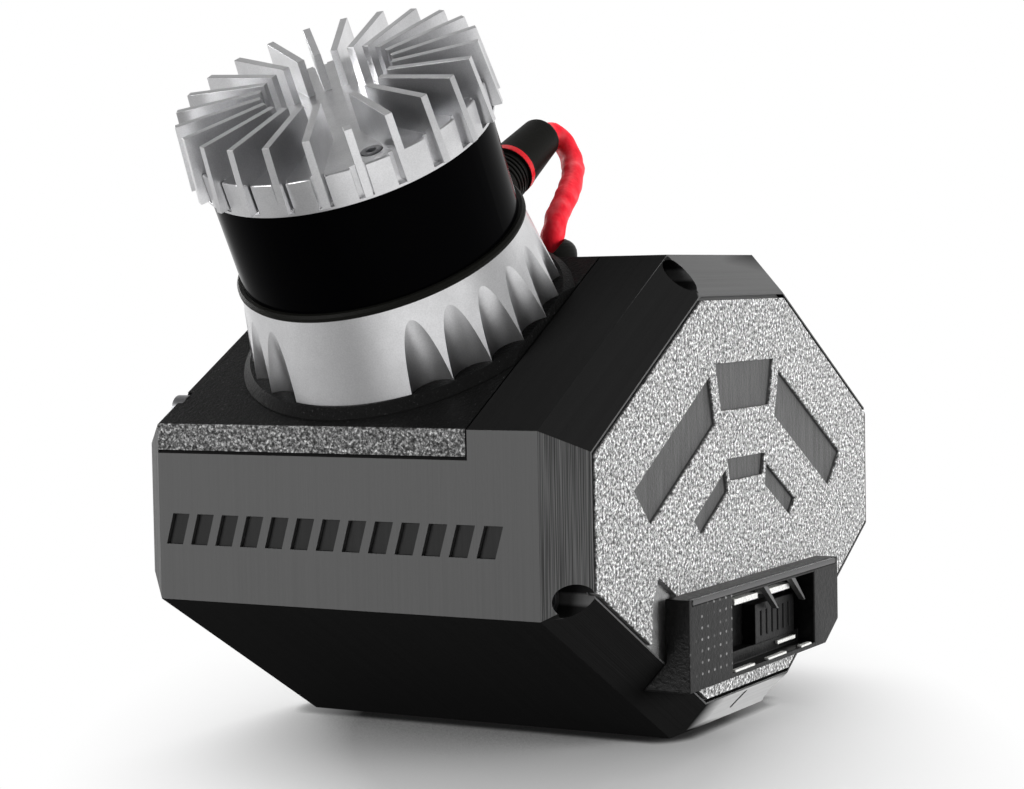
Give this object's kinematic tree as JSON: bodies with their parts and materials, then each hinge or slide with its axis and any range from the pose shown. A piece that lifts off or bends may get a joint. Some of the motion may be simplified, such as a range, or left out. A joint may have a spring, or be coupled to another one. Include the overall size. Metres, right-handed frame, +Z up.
{
  "type": "laser scanner",
  "caption": "Portable laser scanner: a tilted spinning sensor with a finned cap and a red lead on an octagonal printed housing with a dock at one end.",
  "frame": {"origin": "middle of the housing's flat bottom, on the surface it stands on", "axes": "+X towards the dock end, -Y towards the front face that the sensor leans over, +Z up"},
  "size_m": [0.1432, 0.2358, 0.1986],
  "materials": {
    "housing_print": "satin print with fine layer lines",
    "plate_print": "print with a metallic speckle",
    "lid_print": "print with a metallic speckle",
    "cast_aluminium": "bead-blasted, clear anodised",
    "dark_window": "polished, dark to the eye",
    "seal_rubber": "matte",
    "plug_black": "satin",
    "red_band": "satin",
    "red_jacket": "tape-wrapped, satin",
    "screw_steel": "satin",
    "dock_plastic": "fine texture",
    "dock_gloss": "gloss",
    "contact_metal": "plated",
    "bearing_steel": "ground",
    "lens_glass": "coated",
    "circuit_board": "solder mask",
    "magnet_steel": "plated",
    "motor_copper": "enamelled winding on laminations",
    "frame_print": "matte",
    "battery_wrap": "shrink sleeve",
    "strap_webbing": "woven",
    "connector_white": "satin",
    "sensor_orange": "satin"
  },
  "bodies": {
    "housing": {"housing_shell": "housing_print", "left_end_cap": "housing_print", "end_plate": "plate_print", "right_end_screws": "screw_steel", "left_end_screws": "screw_steel", "sensor_lid": "lid_print", "lid_screws": "screw_steel", "sensor_screws": "screw_steel", "sensor_base": "cast_aluminium", "window_gasket": "seal_rubber", "optical_window": "dark_window", "sensor_top_plate": "cast_aluminium", "heatsink_cap": "cast_aluminium", "cap_screws": "screw_steel", "sensor_socket": "plug_black", "plug_body": "plug_black", "plug_ring": "red_band", "plug_boot": "seal_rubber", "sensor_lead": "red_jacket", "cable_gland": "plug_black", "gland_nut": "plug_black", "dock_block": "dock_plastic", "dock_rail": "dock_gloss", "dock_terminal": "dock_plastic", "dock_contacts": "contact_metal", "dock_ribs": "contact_metal", "dock_lead": "seal_rubber", "rotor_shaft": "bearing_steel", "lower_bearing": "bearing_steel", "upper_bearing": "bearing_steel", "motor_stator": "motor_copper", "sensor_board": "circuit_board", "chassis_frame": "frame_print", "battery_pack": "battery_wrap", "battery_strap": "strap_webbing", "control_board": "circuit_board", "board_standoffs": "contact_metal", "board_heatsink": "cast_aluminium", "lead_connector": "connector_white", "motion_unit": "sensor_orange", "power_board": "circuit_board", "power_standoffs": "contact_metal"},
    "rotor": {"rotor_turret": "dock_plastic", "receiver_lens": "lens_glass", "emitter_lens": "lens_glass", "laser_board": "circuit_board", "magnet_ring": "magnet_steel", "encoder_disc": "bearing_steel"},
    "plug_sleeve": {"plug_sleeve": "plug_black"}
  },
  "joints": [
    {"name": "rotor_spin", "type": "hinge", "parent": "housing", "child": "rotor", "pos_m": [-0.005, -0.06013, 0.11315], "axis": [0, -0.5, 0.866], "continuous": true},
    {"name": "sleeve_slide", "type": "slide", "parent": "housing", "child": "plug_sleeve", "axis": [0.0349, 0.8655, 0.4997], "range_m": [0, 0.002], "stiffness_N_per_m": 1500}
  ]
}
